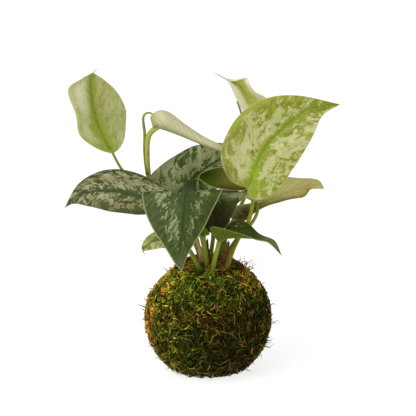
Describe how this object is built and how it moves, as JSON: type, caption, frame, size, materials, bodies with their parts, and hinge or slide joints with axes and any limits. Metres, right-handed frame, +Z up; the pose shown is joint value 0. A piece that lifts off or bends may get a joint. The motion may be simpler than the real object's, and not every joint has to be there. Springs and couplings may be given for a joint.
{
  "type": "kokedama moss ball plant",
  "caption": "Moss-wrapped ball of soil resting on a small flat spot, planted with a young silver-splashed satin pothos on slim arching stalks.",
  "frame": {"origin": "centre of the flat resting spot under the ball, on the surface that it stands on", "axes": "+Z up, -Y the front that the picture shows, +X to the right seen from the front"},
  "size_m": [0.2371, 0.1151, 0.2576],
  "materials": {
    "moss": "matt, loose living moss in yellow-green to brown strands",
    "soil": "matt, damp crumbly potting soil with bark fibre",
    "thread": "matt, thin twisted dark-green thread",
    "leaf_pale": "satin, pale cream-green blade with feathered green flecks",
    "leaf_dark": "satin, dark green blade splashed with silver along the veins",
    "stalk": "satin, smooth yellow-green stalk",
    "dry_sheath": "matt, papery tan dried sheath"
  },
  "bodies": {
    "root": {"moss_mat": "moss", "soil_ball": "soil", "binding_thread": "thread", "leaf_upper_left": "leaf_pale", "leaf_upper_right": "leaf_pale", "leaf_twisted": "leaf_pale", "leaf_unfurling": "leaf_pale", "leaf_lower_right": "leaf_pale", "leaf_left": "leaf_dark", "leaf_front": "leaf_dark", "leaf_back": "leaf_dark", "leaf_curled": "leaf_dark", "leaf_shaded": "leaf_dark", "leaf_small_right": "leaf_dark", "leaf_small_left": "leaf_pale", "leaf_hidden": "leaf_dark", "petiole_upper_left": "stalk", "petiole_left": "stalk", "petiole_front": "stalk", "petiole_back": "stalk", "petiole_unfurling": "stalk", "petiole_curled": "stalk", "petiole_upper_right": "stalk", "petiole_twisted": "stalk", "petiole_lower_right": "stalk", "petiole_small_right": "stalk", "petiole_shaded": "stalk", "petiole_small_left": "stalk", "petiole_hidden": "stalk", "sheath_unfurling": "stalk", "sheath_twisted": "stalk", "dry_sheath_left": "dry_sheath", "dry_sheath_middle": "dry_sheath", "dry_sheath_right": "dry_sheath"}
  },
  "joints": []
}
